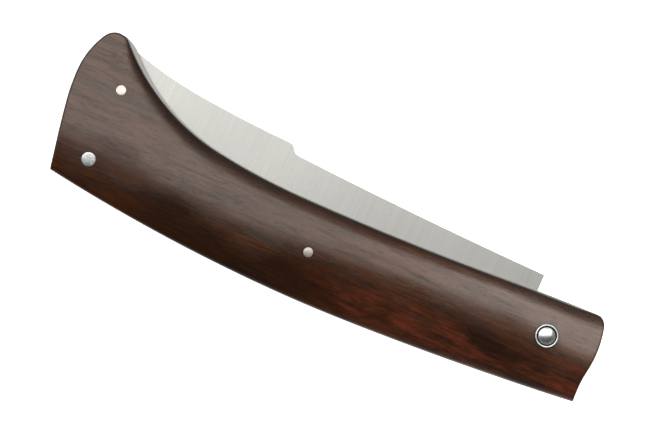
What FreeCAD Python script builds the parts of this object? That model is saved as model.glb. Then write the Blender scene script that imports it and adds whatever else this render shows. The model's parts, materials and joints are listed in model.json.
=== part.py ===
"""Folding straight razor, closed: rosewood scales on steel liners, a stepped blade and a riveted pivot.

Design frame, in millimetres: X runs along the back of the handle from the tail to the pivot end, Y runs
from the back to the open front that the blade folds into, and Z is the thickness, zero in the blade's
middle plane. At the end every sub-part gets one Placement, which puts the origin on the surface that
the razor lies on, under the middle of its bounding box.
"""

import FreeCAD, Part
import math
import os

import Sketcher
from FreeCAD import Vector

SIZES = {
    "zero": 0.0,
    # thickness, from the blade's middle plane outwards
    "blade_side": 1.5,
    "side_play": 0.02,
    "washer_thickness": 0.25,
    "liner_thickness": 1.0,
    "scale_thickness": 4.2,
    "slot_side": 1.77,  # inner face of a liner: blade side, play and washer
    "scale_seat": 2.77,  # inner face of a scale: slot side and liner
    "scale_face": 6.97,  # outer face of a scale
    # handle outline, from the tail's lower corner up, along the front, down the pivot end and back
    "tail_corner_x": -0.1,
    "tail_corner_y": -0.4,
    "tail_bend_x": -3.1,
    "tail_bend_y": 15.5,
    "tail_wide_x": -4.0,
    "tail_wide_y": 24.5,
    "peak_rear_x": -1.28,
    "peak_rear_y": 35.0,
    "peak_x": 2.4,
    "peak_y": 36.92,
    "liner_tip_x": 7.4,
    "liner_tip_y": 34.6,
    "scale_tip_x": 4.0,
    "scale_tip_y": 36.64,
    "hook_end_x": 36.0,
    "hook_end_y": 20.4,
    "waist_radius": 157.0,
    "waist_x": 58.0,
    "waist_y": 18.85,
    "front_rise_x": 112.0,
    "front_rise_y": 20.8,
    "front_corner_x": 137.3,
    "front_corner_y": 22.05,
    "end_round_x": 139.15,
    "end_round_y": 20.1,
    "end_swell_radius": 28.9,
    "end_swell_x": 139.75,
    "end_swell_y": 8.5,
    "end_foot_x": 139.7,
    "end_foot_y": 0.1,
    "back_radius": 865.0,
    "back_rise_x": 80.0,
    "back_rise_y": -4.65,
    "back_low_x": 58.0,
    "back_low_y": -4.98,
    "edge_reveal": 0.25,  # how far the wood stands back from the liner along the front
    "scale_edge_round": 1.0,
    # pins, through scales, liners and spacer
    "tail_pin_x": 7.62,
    "tail_pin_y": 5.69,
    "tail_pin_radius": 1.75,
    "hook_pin_x": 7.93,
    "hook_pin_y": 24.31,
    "hook_pin_radius": 1.3,
    "middle_pin_x": 65.77,
    "middle_pin_y": 6.94,
    "middle_pin_radius": 1.25,
    # pivot
    "pivot_x": 127.17,
    "pivot_y": 12.2,
    "pivot_radius": 1.5,
    "pivot_running_clearance": 0.03,
    "pivot_head_radius": 2.1,
    "pivot_head_wall": 0.3,
    "pivot_dome_height": 0.7,
    "pivot_dome_radius": 3.5,  # puts the dome's centre on the pivot's axis
    "rosette_radius": 2.8,
    "rosette_depth": 1.0,
    "rosette_rim_height": 0.12,
    "rosette_rim_inner": 2.5,
    "rosette_dish_radius": 2.2,
    "rosette_floor": 0.45,
    "bush_radius": 2.5,
    "washer_radius": 6.0,
    # blade, folded
    "tip_x": 4.2,
    "tip_y": 35.5,
    "spine_sweep_radius": 107.0,
    "spine_bend_x": 28.0,
    "spine_bend_y": 30.8,
    "spine_flat_radius": 337.0,
    "step_top_x": 50.6,
    "step_top_y": 29.6,
    "step_top_radius": 1.8,
    "step_middle_x": 52.2,
    "step_middle_y": 28.6,
    "step_foot_radius": 2.5,
    "step_foot_x": 54.2,
    "step_foot_y": 27.45,
    "spine_back_radius": 1500.0,
    "butt_x": 120.85,
    "butt_top_y": 25.55,
    "butt_foot_y": 20.52,
    "butt_notch_radius": 1.0,
    "tang_start_x": 122.34,
    "tang_start_y": 19.68,
    "tang_radius": 8.8,
    "tang_end_x": 135.97,
    "tang_bottom_y": 3.4,
    "kick_x": 124.5,
    "kick_y": 3.0,
    "choil_x": 110.6,
    "choil_y": 9.2,
    "choil_radius": 1.7,
    "heel_x": 107.6,
    "edge_y": 10.0,
    "belly_x": 54.0,
    "belly_radius": 61.38,
    "grind_width": 8.0,
    "grind_overrun": 0.5,
    "grind_low_side": 0.0125,  # the bevel's height at the overrun, which leaves 0.1 a side at the edge
    "grind_turn": 70.0,  # degrees that the grind turns round the belly
    "taper_low_side": 0.25,  # a side of the blade where its taper towards the tip would reach X zero
    "open_angle": 173.0,  # degrees that the blade opens
    # back spacer
    "spacer_height": 4.3,
    "spacer_top_x": 3.57,
    "belly_clearance_radius": 62.18,
    "spacer_shoulder_x": 16.0,
    "spacer_shoulder_y": 22.16,
    "spacer_throat_radius": 26.0,
    "spacer_throat_x": 33.0,
    "spacer_throat_y": 0.38,
    "bar_tail_radius": 440.0,
    "lobe_root_x": 56.5,
    "lobe_root_y": -0.62,
    "lobe_flare_radius": 9.0,
    "lobe_neck_x": 63.5,
    "lobe_neck_y": 7.3,
    "lobe_radius": 2.3,
    "lobe_far_neck_x": 68.04,
    "lobe_far_root_x": 75.04,
    "lobe_far_root_y": -0.52,
    "stop_gap": 0.02,
    "stop_reach": 30.0,
}
SHEET = "Sizes"


def expression(text):
    """A sum of size names, such as 'waist_y - edge_reveal', as an expression on the sheet's cells."""
    return " ".join(f"{SHEET}.{word}" if word in SIZES else word for word in text.split())


def number(text):
    """The value of a sum of size names."""
    total = 0.0
    sign = 1.0
    for word in text.split():
        if word in "+-":
            sign = 1.0 if word == "+" else -1.0
        else:
            total += sign * SIZES[word]
    return total


def minus(text):
    """A sum of size names with every sign turned over."""
    words = text.split() if text.startswith("-") else ["+"] + text.split()
    turned = [{"+": "-", "-": "+"}.get(word, word) for word in words]
    return " ".join(turned[1:] if turned[0] == "+" else turned)


def make_sheet(doc):
    sheet = doc.addObject("Spreadsheet::Sheet", SHEET)
    for row, (name, value) in enumerate(SIZES.items(), start=1):
        sheet.set(f"A{row}", name)
        sheet.set(f"B{row}", str(value))
        sheet.setAlias(f"B{row}", name)
    doc.recompute()


def make_body(doc, label):
    body = doc.addObject("PartDesign::Body", label)
    body.Label = label
    return body


def make_sketch(body, name, plane="XY_Plane", lift=None, at=None):
    """An empty sketch on one of the body's own origin planes, lifted off it by a sum of sizes, with its
    origin at two more sizes on the plane."""
    sketch = body.newObject("Sketcher::SketchObject", f"{body.Label}_{name}")
    support = next(feature for feature in body.Origin.OriginFeatures if feature.Role == plane)
    sketch.AttachmentSupport = [(support, "")]
    sketch.MapMode = "FlatFace"
    if lift:
        sketch.setExpression("AttachmentOffset.Base.z", expression(lift))
    if at:
        sketch.setExpression("AttachmentOffset.Base.x", expression(at[0]))
        sketch.setExpression("AttachmentOffset.Base.y", expression(at[1]))
    return sketch


def place_point(sketch, geometry, position, x_text, y_text):
    """Hold a point of the sketch at two sizes from its origin."""
    for kind, text in (("DistanceX", x_text), ("DistanceY", y_text)):
        rule = Sketcher.Constraint(kind, -1, 1, geometry, position, number(text))
        index = sketch.addConstraint(rule)
        sketch.setExpression(f"Constraints[{index}]", expression(text))


def hold_radius(sketch, geometry, text):
    index = sketch.addConstraint(Sketcher.Constraint("Radius", geometry, number(text)))
    sketch.setExpression(f"Constraints[{index}]", expression(text))


def arc_between(start, end, heading):
    """The arc between two points that leaves the first one in a given direction."""
    chord = end - start
    swing = math.atan2(chord.y, chord.x) - heading
    radius = chord.Length / (2 * math.sin(swing))
    centre = start + Vector(-math.sin(heading), math.cos(heading), 0) * radius
    clockwise = radius < 0
    ends = (end, start) if clockwise else (start, end)
    angles = [math.atan2(point.y - centre.y, point.x - centre.x) for point in ends]
    return Part.ArcOfCircle(Part.Circle(centre, Vector(0, 0, 1), abs(radius)), *angles), clockwise


def chord_angle(points, index):
    chord = points[(index + 1) % len(points)] - points[index]
    return math.atan2(chord.y, chord.x), chord.Length


def start_headings(points, shapes):
    """The direction in which each edge of an outline leaves its first point."""
    headings = {}
    for index, shape in enumerate(shapes):
        angle, length = chord_angle(points, index)
        if shape is None:
            headings[index] = angle
        elif shape[0] in ("bulge", "hollow"):
            half_turn = math.asin(length / (2 * number(shape[1])))
            headings[index] = angle + (half_turn if shape[0] == "bulge" else -half_turn)
    while len(headings) < len(shapes):
        for index, shape in enumerate(shapes):
            before = index - 1 if index else len(shapes) - 1
            after = (index + 1) % len(shapes)
            if index not in headings and shape == "follows" and before in headings:
                headings[index] = 2 * chord_angle(points, before)[0] - headings[before]
            elif index not in headings and shape == "leads" and after in headings:
                headings[index] = 2 * chord_angle(points, index)[0] - headings[after]
    return headings


def draw_outline(sketch, corners):
    """A closed outline, walked clockwise. Each corner is (x, y, edge to the next corner). An edge is None for
    a straight line, ('bulge' or 'hollow', radius) for an arc, 'follows' for an arc tangent to the edge
    before it, or 'leads' for one tangent to the edge after it."""
    points = [Vector(number(x), number(y), 0) for x, y, _ in corners]
    shapes = [shape for _, _, shape in corners]
    headings = start_headings(points, shapes)
    edges = []
    for index, shape in enumerate(shapes):
        start = points[index]
        end = points[(index + 1) % len(points)]
        if shape is None:
            geometry = sketch.addGeometry(Part.LineSegment(start, end), False)
            edges.append((geometry, 1, 2))
            continue
        arc, clockwise = arc_between(start, end, headings[index])
        geometry = sketch.addGeometry(arc, False)
        edges.append((geometry, 2, 1) if clockwise else (geometry, 1, 2))
        if shape[0] in ("bulge", "hollow"):
            hold_radius(sketch, geometry, shape[1])
    for index, (geometry, first, _) in enumerate(edges):
        previous, _, last = edges[index - 1]
        smooth = shapes[index] == "follows" or shapes[index - 1] == "leads"
        joint = "Tangent" if smooth else "Coincident"
        sketch.addConstraint(Sketcher.Constraint(joint, previous, last, geometry, first))
        place_point(sketch, geometry, first, corners[index][0], corners[index][1])


def draw_circle(sketch, x_text, y_text, radius_text):
    centre = Vector(number(x_text), number(y_text), 0)
    circle = Part.Circle(centre, Vector(0, 0, 1), number(radius_text))
    geometry = sketch.addGeometry(circle, False)
    hold_radius(sketch, geometry, radius_text)
    place_point(sketch, geometry, 3, x_text, y_text)


def add_feature(body, kind, name, profile, **settings):
    feature = body.newObject(f"PartDesign::{kind}", f"{body.Label}_{name}")
    feature.Profile = profile
    for setting, value in settings.items():
        setattr(feature, setting, value)
    profile.Visibility = False
    return feature


def pad(body, name, profile, length, **settings):
    feature = add_feature(body, "Pad", name, profile, **settings)
    feature.setExpression("Length", expression(length))
    return feature


def cut_checked(doc, feature):
    """Recompute, and stop if a cut has taken nothing away from the body."""
    doc.recompute()
    if feature.Shape.Volume >= feature.BaseFeature.Shape.Volume - 1e-6:
        raise RuntimeError(f"{feature.Name} cuts nothing")


TAIL_EDGE = [
    ("tail_corner_x", "tail_corner_y", None),
    ("tail_bend_x", "tail_bend_y", "follows"),
    ("tail_wide_x", "tail_wide_y", "follows"),
]
PEAK = [
    ("peak_rear_x", "peak_rear_y", "follows"),
    ("peak_x", "peak_y", "follows"),
]
PIVOT_END = [
    ("end_round_x", "end_round_y", ("bulge", "end_swell_radius")),
    ("end_swell_x", "end_swell_y", "follows"),
]
BACK = [
    ("end_foot_x", "end_foot_y", ("bulge", "back_radius")),
    ("back_rise_x", "back_rise_y", "follows"),
    ("back_low_x", "back_low_y", "follows"),
]
PINS = ("tail_pin", "hook_pin", "middle_pin")


def handle_outline(tip, inset=""):
    """The handle's outline, with its front edge moved in by a size."""
    front_edge = [
        (f"{tip}_x", f"{tip}_y", "leads"),
        ("hook_end_x", "hook_end_y" + inset, ("hollow", "waist_radius")),
        ("waist_x", "waist_y" + inset, "follows"),
        ("front_rise_x", "front_rise_y" + inset, "follows"),
        ("front_corner_x", "front_corner_y" + inset, "leads"),
    ]
    return TAIL_EDGE + PEAK + front_edge + PIVOT_END + BACK


def drill_plan(sketch):
    """Circles for the three pins and the pivot."""
    for pin in PINS:
        draw_circle(sketch, f"{pin}_x", f"{pin}_y", f"{pin}_radius")
    draw_circle(sketch, "pivot_x", "pivot_y", "pivot_radius")


def make_liner(doc):
    """The front steel liner: the handle's full outline, drilled for the pins and the pivot."""
    body = make_body(doc, "front_liner")
    plan = make_sketch(body, "plan", lift="slot_side")
    draw_outline(plan, handle_outline("liner_tip"))
    drill_plan(plan)
    pad(body, "plate", plan, "liner_thickness")
    return body


def outer_rim(solid, height):
    """Names of the edges round the outside of the flat face at a height."""
    face = next(
        face
        for face in solid.Faces
        if abs(face.BoundBox.ZMin - height) < 1e-6 and abs(face.BoundBox.ZMax - height) < 1e-6
    )
    rim = face.OuterWire.Edges
    return [
        f"Edge{index}"
        for index, edge in enumerate(solid.Edges, start=1)
        if any(edge.isSame(other) for other in rim)
    ]


def make_scale(doc):
    """The front wooden scale, with a rounded outer rim and a round seat for the pivot's rosette."""
    body = make_body(doc, "front_scale")
    plan = make_sketch(body, "plan", lift="scale_seat")
    draw_outline(plan, handle_outline("scale_tip", " - edge_reveal"))
    drill_plan(plan)
    board = pad(body, "board", plan, "scale_thickness")
    doc.recompute()
    rounding = body.newObject("PartDesign::Fillet", "front_scale_rim")
    rounding.Base = (board, outer_rim(board.Shape, number("scale_face")))
    rounding.setExpression("Radius", expression("scale_edge_round"))
    seat_plan = make_sketch(body, "seat_plan", lift="scale_face")
    draw_circle(seat_plan, "pivot_x", "pivot_y", "rosette_radius")
    seat = add_feature(body, "Pocket", "rosette_seat", seat_plan)
    seat.setExpression("Length", expression("rosette_depth"))
    cut_checked(doc, seat)
    return body


def make_spacer(doc):
    """The bar between the liners: it fills the tail, runs along the back with a lobe for the middle pin,
    and ends in the face that the blade's square butt meets when the razor is open."""
    body = make_body(doc, "back_spacer")
    plan = make_sketch(body, "plan")
    tail_block = [
        ("peak_rear_x", "peak_rear_y", None),
        ("spacer_top_x", "peak_rear_y", ("hollow", "belly_clearance_radius")),
        ("spacer_shoulder_x", "spacer_shoulder_y", ("hollow", "spacer_throat_radius")),
    ]
    bar_top = [
        ("spacer_throat_x", "spacer_throat_y", ("hollow", "bar_tail_radius")),
        ("lobe_root_x", "lobe_root_y", ("hollow", "lobe_flare_radius")),
        ("lobe_neck_x", "lobe_neck_y", ("bulge", "lobe_radius")),
        ("lobe_far_neck_x", "lobe_neck_y", ("hollow", "lobe_flare_radius")),
        ("lobe_far_root_x", "lobe_far_root_y", ("hollow", "back_radius")),
        ("end_foot_x", "end_foot_y + spacer_height", None),
    ]
    draw_outline(plan, TAIL_EDGE + tail_block + bar_top + BACK)
    for pin in PINS:
        draw_circle(plan, f"{pin}_x", f"{pin}_y", f"{pin}_radius")
    pad(body, "bar", plan, "slot_side + slot_side", Midplane=True)
    # the stop face lies along the blade's butt, turned about the pivot to where the blade is open
    stop_plan = make_sketch(body, "stop_plan", at=("pivot_x", "pivot_y"))
    stop_plan.setExpression("AttachmentOffset.Rotation.Angle", f"-{SHEET}.open_angle")
    far_side = "butt_x - pivot_x - stop_reach"
    stop_side = "butt_x - pivot_x + stop_gap"
    draw_outline(
        stop_plan,
        [
            (far_side, "zero", None),
            (far_side, "stop_reach", None),
            (stop_side, "stop_reach", None),
            (stop_side, "zero", None),
        ],
    )
    stop = add_feature(body, "Pocket", "stop", stop_plan, Midplane=True)
    stop.setExpression("Length", expression("scale_face"))
    cut_checked(doc, stop)
    return body


def make_blade(doc):
    """The blade, folded: stepped spine, square butt, round tang with a kick, and an upswept ground edge."""
    body = make_body(doc, "blade")
    plan = make_sketch(body, "plan")
    spine = [
        ("tip_x", "tip_y", ("hollow", "spine_sweep_radius")),
        ("spine_bend_x", "spine_bend_y", ("hollow", "spine_flat_radius")),
        ("step_top_x", "step_top_y", ("bulge", "step_top_radius")),
        ("step_middle_x", "step_middle_y", ("hollow", "step_foot_radius")),
        ("step_foot_x", "step_foot_y", ("hollow", "spine_back_radius")),
    ]
    butt_and_tang = [
        ("butt_x", "butt_top_y", None),
        ("butt_x", "butt_foot_y", ("hollow", "butt_notch_radius")),
        ("tang_start_x", "tang_start_y", ("bulge", "tang_radius")),
        ("tang_end_x", "pivot_y", ("bulge", "tang_radius")),
        ("pivot_x", "tang_bottom_y", None),
        ("kick_x", "kick_y", None),
    ]
    edge = [
        ("choil_x", "choil_y", ("hollow", "choil_radius")),
        ("heel_x", "edge_y", None),
        ("belly_x", "edge_y", ("bulge", "belly_radius")),
    ]
    draw_outline(plan, spine + butt_and_tang + edge)
    draw_circle(plan, "pivot_x", "pivot_y", "bush_radius")
    pad(body, "stock", plan, "blade_side + blade_side", Midplane=True)
    doc.recompute()

    # the blade thins towards its tip, from the foot of the step on
    taper_plan = make_sketch(body, "taper_plan", plane="XZ_Plane")
    taper = [
        ("belly_x", "blade_side"),
        ("zero", "taper_low_side"),
        ("zero", "blade_side + grind_overrun"),
        ("belly_x", "blade_side + grind_overrun"),
    ]
    draw_on_both_sides(taper_plan, taper)
    cut_checked(doc, add_feature(body, "Pocket", "taper", taper_plan, Type="ThroughAll", Midplane=True))

    # a wedge taken off each side, run straight along the edge and then turned round the belly's centre
    straight_wedge = make_wedge_sketch(body, "straight_wedge")
    straight = add_feature(body, "Pocket", "straight_grind", straight_wedge, Reversed=True)
    straight.setExpression("Length", expression("heel_x - belly_x"))
    cut_checked(doc, straight)
    belly_wedge = make_wedge_sketch(body, "belly_wedge")
    centre = number("edge_y + belly_radius")
    line = Part.LineSegment(Vector(centre, 0, 0), Vector(centre, number("blade_side"), 0))
    axis = belly_wedge.addGeometry(line, True)
    place_point(belly_wedge, axis, 1, "edge_y + belly_radius", "- blade_side")
    place_point(belly_wedge, axis, 2, "edge_y + belly_radius", "blade_side")
    belly = add_feature(body, "Groove", "belly_grind", belly_wedge, Reversed=True)
    belly.ReferenceAxis = (belly_wedge, ["Axis0"])
    belly.setExpression("Angle", f"{SHEET}.grind_turn")
    cut_checked(doc, belly)
    return body


def draw_on_both_sides(sketch, corners):
    """A straight-sided outline of (place, side) corners, and its mirror image on the blade's other side."""
    draw_outline(sketch, [(place, side, None) for place, side in corners])
    draw_outline(sketch, [(place, minus(side), None) for place, side in corners])


def make_wedge_sketch(body, name):
    """Two wedges across the blade, one a side, that leave its ground section between them."""
    sketch = make_sketch(body, name, plane="YZ_Plane", lift="belly_x")
    wedge = [
        ("edge_y + grind_width", "blade_side"),
        ("edge_y - grind_overrun", "grind_low_side"),
        ("edge_y - grind_overrun", "blade_side + grind_overrun"),
        ("edge_y + grind_width", "blade_side + grind_overrun"),
    ]
    draw_on_both_sides(sketch, wedge)
    return sketch


def make_pin(doc, name):
    """A pin, cut off flush with both scales."""
    body = make_body(doc, name)
    plan = make_sketch(body, "plan")
    draw_circle(plan, f"{name}_x", f"{name}_y", f"{name}_radius")
    pad(body, "rod", plan, "scale_face + scale_face", Midplane=True)
    return body


def make_ring(doc, label, outer, inner, length, **settings):
    """A flat ring round the pivot."""
    body = make_body(doc, label)
    plan = make_sketch(body, "plan", lift=settings.pop("lift", None))
    draw_circle(plan, "pivot_x", "pivot_y", outer)
    draw_circle(plan, "pivot_x", "pivot_y", inner)
    pad(body, "ring", plan, length, **settings)
    return body


def make_washer(doc):
    """The thin bronze washer between the blade's tang and the front liner."""
    lift = "blade_side + side_play"
    return make_ring(doc, "front_washer", "washer_radius", "pivot_radius", "washer_thickness", lift=lift)


def make_bush(doc):
    """The bronze bush pressed into the tang, which turns on the pivot pin."""
    bore = "pivot_radius + pivot_running_clearance"
    return make_ring(doc, "pivot_bush", "bush_radius", bore, "blade_side + blade_side", Midplane=True)


def turn_about_pivot(body, corners):
    """Turn a profile of (radius, height) corners about the pivot's axis."""
    profile = make_sketch(body, "profile", plane="XZ_Plane", lift="- pivot_y", at=("pivot_x", "zero"))
    draw_outline(profile, corners)
    turned = add_feature(body, "Revolution", "turned", profile)
    turned.ReferenceAxis = (profile, ["V_Axis"])
    turned.Angle = 360
    return body


def make_rosette(doc):
    """The front dished collar, let into the wood, with a raised rim round the pivot pin's head."""
    dish = "scale_face - rosette_depth + rosette_floor"
    corners = [
        ("pivot_radius", "scale_face - rosette_depth", None),
        ("rosette_radius", "scale_face - rosette_depth", None),
        ("rosette_radius", "scale_face + rosette_rim_height", None),
        ("rosette_rim_inner", "scale_face + rosette_rim_height", None),
        ("rosette_dish_radius", dish, None),
        ("pivot_radius", dish, None),
    ]
    return turn_about_pivot(make_body(doc, "front_rosette"), corners)


def make_pivot_pin(doc):
    """The pivot's rod with both ends riveted over into domed heads."""
    floor = "scale_face - rosette_depth + rosette_floor"
    shoulder = floor + " + pivot_head_wall"
    crown = shoulder + " + pivot_dome_height"
    half_section = [
        ("zero", minus(crown), ("hollow", "pivot_dome_radius")),
        ("pivot_head_radius", minus(shoulder), None),
        ("pivot_head_radius", minus(floor), None),
        ("pivot_radius", minus(floor), None),
        ("pivot_radius", floor, None),
        ("pivot_head_radius", floor, None),
        ("pivot_head_radius", shoulder, ("hollow", "pivot_dome_radius")),
        ("zero", crown, None),
    ]
    return turn_about_pivot(make_body(doc, "pivot_pin"), half_section)


def mirror_to_rear(doc, front_part):
    """The rear twin of a front part, mirrored in the blade's middle plane."""
    label = front_part.Label.replace("front_", "rear_")
    twin = doc.addObject("Part::Mirroring", label)
    twin.Label = label
    twin.Source = front_part
    twin.Normal = Vector(0, 0, 1)
    return twin


def make_all_parts(doc):
    front_parts = [make_scale(doc), make_liner(doc), make_rosette(doc), make_washer(doc)]
    rear_parts = [mirror_to_rear(doc, part) for part in front_parts]
    middle_parts = [make_spacer(doc), make_blade(doc), make_bush(doc), make_pivot_pin(doc)]
    pins = [make_pin(doc, name) for name in PINS]
    return front_parts + rear_parts + middle_parts + pins


def check_parts(doc, parts):
    """Stop before anything is written if an object has failed or a shape isn't one good solid."""
    for item in doc.Objects:
        if {"Invalid", "Error"} & set(item.State):
            raise RuntimeError(f"{item.Name} failed: {item.State}")
    for part in parts:
        if part.Shape.isNull() or not part.Shape.isValid() or len(part.Shape.Solids) != 1:
            raise RuntimeError(f"{part.Label} isn't one valid solid")


def place_on_surface(parts):
    """Move everything so that the origin is under the middle of the bounding box, on its lowest level."""
    box = FreeCAD.BoundBox()
    for part in parts:
        box.add(part.Shape.optimalBoundingBox(False))
    shift = Vector(-box.Center.x, -box.Center.y, -box.ZMin)
    for part in parts:
        if part.TypeId == "Part::Mirroring":
            # the twin is made from the front part where it now lies, so only its mirror plane moves
            part.Base = Vector(0, 0, shift.z)
        else:
            part.Placement = FreeCAD.Placement(shift, FreeCAD.Rotation())
    return shift


def main():
    doc = FreeCAD.newDocument("folding_razor")
    make_sheet(doc)
    parts = make_all_parts(doc)
    doc.recompute()
    check_parts(doc, parts)
    shift = place_on_surface(parts)
    doc.recompute()
    check_parts(doc, parts)
    os.makedirs("parts", exist_ok=True)
    for part in parts:
        part.Shape.exportStep(f"parts/{part.Label}.step")
        print(f"{part.Label}: {part.Shape.Volume:.1f} mm3")
    print(f"design frame moved by {shift}")


main()
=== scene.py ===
"""Looks of the folding straight razor: crowned rosewood scales, brushed blade, filed pins, domed pivot.

Everything is in metres in the row frame: X along the handle, Y towards its open front, Z up through its
thickness. The two sides are alike, so each side's pieces are made from one height map of the wood.
"""

import json
import math

import bmesh
import bpy
import numpy as np
from mathutils import Matrix, Vector
from mathutils.geometry import delaunay_2d_cdt


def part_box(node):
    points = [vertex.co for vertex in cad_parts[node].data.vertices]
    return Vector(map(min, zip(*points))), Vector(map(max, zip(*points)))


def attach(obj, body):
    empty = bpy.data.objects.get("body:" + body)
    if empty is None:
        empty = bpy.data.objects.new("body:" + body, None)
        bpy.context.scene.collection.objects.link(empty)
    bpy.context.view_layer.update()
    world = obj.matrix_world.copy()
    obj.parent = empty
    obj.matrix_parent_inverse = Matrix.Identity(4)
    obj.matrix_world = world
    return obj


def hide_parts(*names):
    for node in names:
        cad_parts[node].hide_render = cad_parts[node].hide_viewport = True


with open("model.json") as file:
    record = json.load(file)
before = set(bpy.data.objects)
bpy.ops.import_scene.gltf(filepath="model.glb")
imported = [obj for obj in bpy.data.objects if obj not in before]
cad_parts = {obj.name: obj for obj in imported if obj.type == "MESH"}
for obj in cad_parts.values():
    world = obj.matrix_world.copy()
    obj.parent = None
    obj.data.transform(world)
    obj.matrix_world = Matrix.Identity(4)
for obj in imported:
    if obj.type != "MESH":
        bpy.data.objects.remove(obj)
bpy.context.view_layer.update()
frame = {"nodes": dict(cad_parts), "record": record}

MM = 0.001

# the wood's crown
CROWN_SLOPE_TAIL = 0.14  # steepest slope of the crown across the handle
CROWN_SLOPE_PIVOT = 0.25
CROWN_REACH = 6.5 * MM  # how far from its top line the crown takes to get steep
CROWN_LINE_TAIL = 10.5 * MM  # the crown's top line, from the back edge
CROWN_LINE_PIVOT = 14.5 * MM
CROWN_LINE_SHARE = 0.7  # of the way to the pivot, by which the line has moved right out
CROWN_LINE_DIP = 3.5 * MM  # how far the line drops back at the pivot end
CROWN_DIP_REACH = (4 * MM, 24 * MM)  # from that end, where the drop is complete and where it begins
HOOK_START = 22 * MM  # from the back edge, where the hook begins to flatten out
HOOK_END = 32 * MM  # and where it has its last slope
HOOK_SLOPE = 0.05

# the wood's edges
BEVEL_SLOPE = 0.58
BEVEL_BLEND = 1.5 * MM  # height over which the bevel and the crown run into each other
BEVEL_WIDE = 2.8 * MM  # the bevel's width in the hook
BEVEL_WIDTH = 1.7 * MM  # and at the pivot end
BEVEL_OPENING = (-6 * MM, 12 * MM)  # along the front edge from the hook's tip, where the bevel opens out
BEVEL_NARROWING = (25 * MM, 125 * MM)  # and where it narrows
BACK_ROUND_TAIL = 0.7 * MM  # how deep the back edge is rounded at the tail
BACK_ROUND_PIVOT = 1.5 * MM  # and at the pivot end
BACK_ROUND_STRETCH = 1.5  # how much wider than deep the back edge's rounding is
EDGE_BREAK = 0.35 * MM  # the rounding of the front edge
TAIL_ROUND = 0.6 * MM
END_ROUND = 0.25 * MM
DARK_REACH = 1.1  # in widths of the bevel, how far in from the front edge shade is painted on the wood, where the bevel faces away from the light
RIM_WIDTH = 0.7 * MM  # of the painted dark line of shade round the tail and the pivot end
RIM_DARKNESS = 0.8

# the wood's colours
HEART_TOP = -10 * MM  # where the dark heartwood ends across the handle, give or take its wandering
HEART_WANDER = 24 * MM
HEART_FADE = 3.5 * MM
HEART_TAIL_REACH = (-51 * MM, -41 * MM)  # along the handle, where the tail's warm black turns full black
HEART_TURN_REACH = (-8 * MM, 16 * MM)  # where the black turns to red
EDGE_SHADE_REACH = (-20 * MM, 60 * MM)  # where the painted shade on the front edge gets lighter
GLOSS_REACH = (20 * MM, 44 * MM)  # and where the polish gets brighter
FIGURE_COLOURS = (  # of the brown bands, each with its place in the noise's run
    (0.28, (0.026, 0.0095, 0.0042)),
    (0.44, (0.050, 0.0178, 0.0074)),
    (0.58, (0.068, 0.0250, 0.0105)),
    (0.76, (0.094, 0.0370, 0.0160)),
)
HEART_BLACK = (0.0135, 0.0040, 0.0006)
HEART_TAIL = (0.032, 0.0078, 0.0009)  # the warm black
HEART_RED = (0.098, 0.0205, 0.0095)
HEART_BROWN = (0.040, 0.0125, 0.0045)  # between the red's lumps
HEART_PATCH = (0.016, 0.0057, 0.0028)  # dark patches in the red
STREAK_COLOUR = (0.006, 0.0030, 0.0020)
PORE_COLOUR = (0.004, 0.002, 0.0015)
# painted shade on the wood round the pins and the rosette
METAL_SHADE_COLOUR = (0.004, 0.003, 0.002)
# painted shade on the front bevel and in the dark line round the ends
EDGE_SHADE_COLOUR = (0.006, 0.0028, 0.0017)
ROSETTE_SHADE = 1.1 * MM  # how far shade is painted on the wood round the rosette
PIN_SHADE = (0.02 * MM, 0.28 * MM)  # from a pin's edge, where the painted shade round it begins to fade and where it ends

# metal
TAPER_START = -14 * MM  # where the blade begins to thin towards its tip
TAPER_BLEND = 0.4 * MM
BLADE_SHADE_LENGTH = 20 * MM  # from there on, over which shade is painted on the blade, darker towards the pivot
BRUSH_SPREAD = 9  # how much broader the broad brush marks are than the hairlines
TAIL_PIN_REACH = (4 * MM, 8 * MM)  # from the tail pin's axis, where its grey turns into the others' colour
ROD_SHARE = 0.6  # the pivot rod's radius, as a share of its bush's
PIN_DOME = 0.07 * MM  # how far the middle of a pin's end stands proud of the wood
PIN_EDGE = 0.04 * MM  # how far its edge is filed down
PLATE = 0.45 * MM  # thickness of the rosette under its dish
DISH_FILLET = 0.15 * MM
ROSETTE_RIM = 0.15 * MM  # radius of the rosette's raised rim
HEAD_RISE = 0.5 * MM  # how far the pivot head's dome stands above its shoulder
HEAD_LIP = 0.14 * MM  # radius of the shoulder
HEAD_LIP_DROP = 0.4 * HEAD_LIP  # how far below the dome's foot the shoulder's middle lies
HEAD_DOME_SHARE = 0.97  # of the dome's half angle, where the shoulder takes over
HEAD_FOOT = (0.06 * MM, 0.08 * MM)  # the head's chamfer in the dish, across and up

# the metal's colours
BLADE_STEEL = (0.350, 0.346, 0.324)
LINER_STEEL = (0.20, 0.195, 0.185)
DISH_SHADE_STEEL = (0.20, 0.195, 0.185)  # painted shade in the rosette's dish
SMUDGED_STEEL = (0.45, 0.45, 0.44)
CLEAN_STEEL = (0.64, 0.64, 0.62)
RIM_HIGHLIGHT_STEEL = (0.95, 0.95, 0.93)  # painted highlight on the rosette's rim
COOL_PIN_DARK = (0.17, 0.19, 0.20)  # the tail pin
COOL_PIN_LIGHT = (0.58, 0.58, 0.56)
WARM_PIN_DARK = (0.34, 0.30, 0.27)  # the other pins
WARM_PIN_LIGHT = (0.50, 0.44, 0.39)
BRONZE_DULL = (0.38, 0.24, 0.11)
BRONZE_BRIGHT = (0.68, 0.46, 0.22)

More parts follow.
